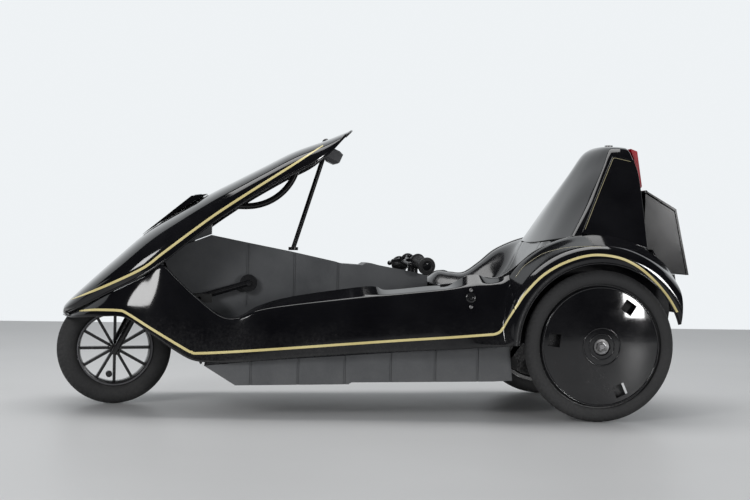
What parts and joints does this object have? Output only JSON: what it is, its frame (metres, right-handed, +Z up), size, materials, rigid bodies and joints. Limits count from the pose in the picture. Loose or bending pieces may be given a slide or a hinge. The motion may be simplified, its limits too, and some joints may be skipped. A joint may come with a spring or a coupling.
{
  "type": "three wheeled car",
  "caption": "One-seat three-wheeled pedal and battery car with swept hood, open cockpit, disc rear wheels and a tail box.",
  "frame": {"origin": "middle of the overall length and width, on the ground", "axes": "+X forward, +Y to the left side, +Z up; the wheels stand on Z = 0"},
  "size_m": [1.7702, 0.744, 0.786],
  "materials": {
    "battery_case": "moulded",
    "black_body": "high gloss black",
    "black_steel": "satin black",
    "bright_steel": "plated",
    "dark_alloy": "dark cast",
    "disc_black": "gloss black",
    "grey_shell": "satin moulded grey",
    "grip_rubber": "ribbed black",
    "lamp_glass": "clear ribbed lens",
    "pedal_plastic": "moulded black",
    "pod_grey": "satin grey",
    "red_lens": "deep red lens",
    "satin_black": "gloss black, lightly worn",
    "tyre_rubber": "worn rubber"
  },
  "bodies": {
    "body": {"hood": "black_body", "head_cowl": "grey_shell", "toe_board": "grey_shell", "lamp_panel": "black_body", "lamp_lens": "lamp_glass", "hood_bow": "black_steel", "hood_strut": "black_steel", "mirror_pod": "pod_grey", "body_shell": "black_body", "lower_shell": "grey_shell", "spine_cover": "grey_shell", "seat": "satin_black", "tower": "black_body", "fin_left": "black_body", "fin_right": "black_body", "mast_socket": "bright_steel", "tail_lamp": "red_lens", "well_left": "satin_black", "well_right": "satin_black", "rear_floor": "satin_black", "guard_left": "black_body", "guard_right": "black_body", "back_panel": "black_body", "boot_box": "satin_black", "rear_skirt": "satin_black", "key_lock": "bright_steel", "head_tube": "black_steel", "frame_tube": "black_steel", "rear_axle": "bright_steel", "motor": "dark_alloy", "battery": "battery_case"},
    "fork": {"fork": "black_steel"},
    "front_wheel": {"front_rim": "black_steel", "front_tyre": "tyre_rubber"},
    "left_wheel": {"rear_tyre_left": "tyre_rubber", "rear_rim_left": "black_steel", "disc_cover_left": "disc_black", "hub_cap_left": "bright_steel"},
    "right_wheel": {"rear_tyre_right": "tyre_rubber", "rear_rim_right": "black_steel", "disc_cover_right": "disc_black", "hub_cap_right": "bright_steel"},
    "crankset": {"crankset": "black_steel"},
    "left_pedal": {"pedal_left": "pedal_plastic"},
    "right_pedal": {"pedal_right": "pedal_plastic"},
    "handlebar": {"handlebar": "black_steel", "grip_left": "grip_rubber", "grip_right": "grip_rubber", "control_left": "black_steel", "control_right": "black_steel"},
    "boot_lid": {"boot_lid": "satin_black"}
  },
  "joints": [
    {"name": "steering", "type": "hinge", "parent": "body", "child": "fork", "pos_m": [0.728, 0, 0.15854], "axis": [-0.4571, 0, 0.8894], "range_deg": [-32, 10]},
    {"name": "front_wheel_spin", "type": "hinge", "parent": "fork", "child": "front_wheel", "pos_m": [0.728, 0, 0.15854], "axis": [-0.1636, 0.9829, -0.0841], "continuous": true},
    {"name": "left_wheel_spin", "type": "hinge", "parent": "body", "child": "left_wheel", "pos_m": [-0.576, 0.341, 0.203], "axis": [0, 1, 0], "continuous": true},
    {"name": "right_wheel_spin", "type": "hinge", "parent": "body", "child": "right_wheel", "pos_m": [-0.576, -0.341, 0.203], "axis": [0, 1, 0], "continuous": true},
    {"name": "crank_spin", "type": "hinge", "parent": "body", "child": "crankset", "pos_m": [0.356, 0, 0.349], "axis": [0, 1, 0], "continuous": true},
    {"name": "left_pedal_spin", "type": "hinge", "parent": "crankset", "child": "left_pedal", "pos_m": [0.48988, 0.138, 0.30807], "axis": [0, 1, 0], "continuous": true},
    {"name": "right_pedal_spin", "type": "hinge", "parent": "crankset", "child": "right_pedal", "pos_m": [0.22212, -0.138, 0.38993], "axis": [0, 1, 0], "continuous": true},
    {"name": "handlebar_turn", "type": "hinge", "parent": "body", "child": "handlebar", "pos_m": [-0.117, 0, 0.388], "axis": [0, 0, 1], "range_deg": [-32, 10]},
    {"name": "boot_lid_hinge", "type": "hinge", "parent": "body", "child": "boot_lid", "pos_m": [-0.757, 0, 0.627], "axis": [0, 1, 0], "range_deg": [0, 70]}
  ],
  "couplings": [
    {"joint": "handlebar_turn", "follows": "steering", "ratio": 1}
  ]
}
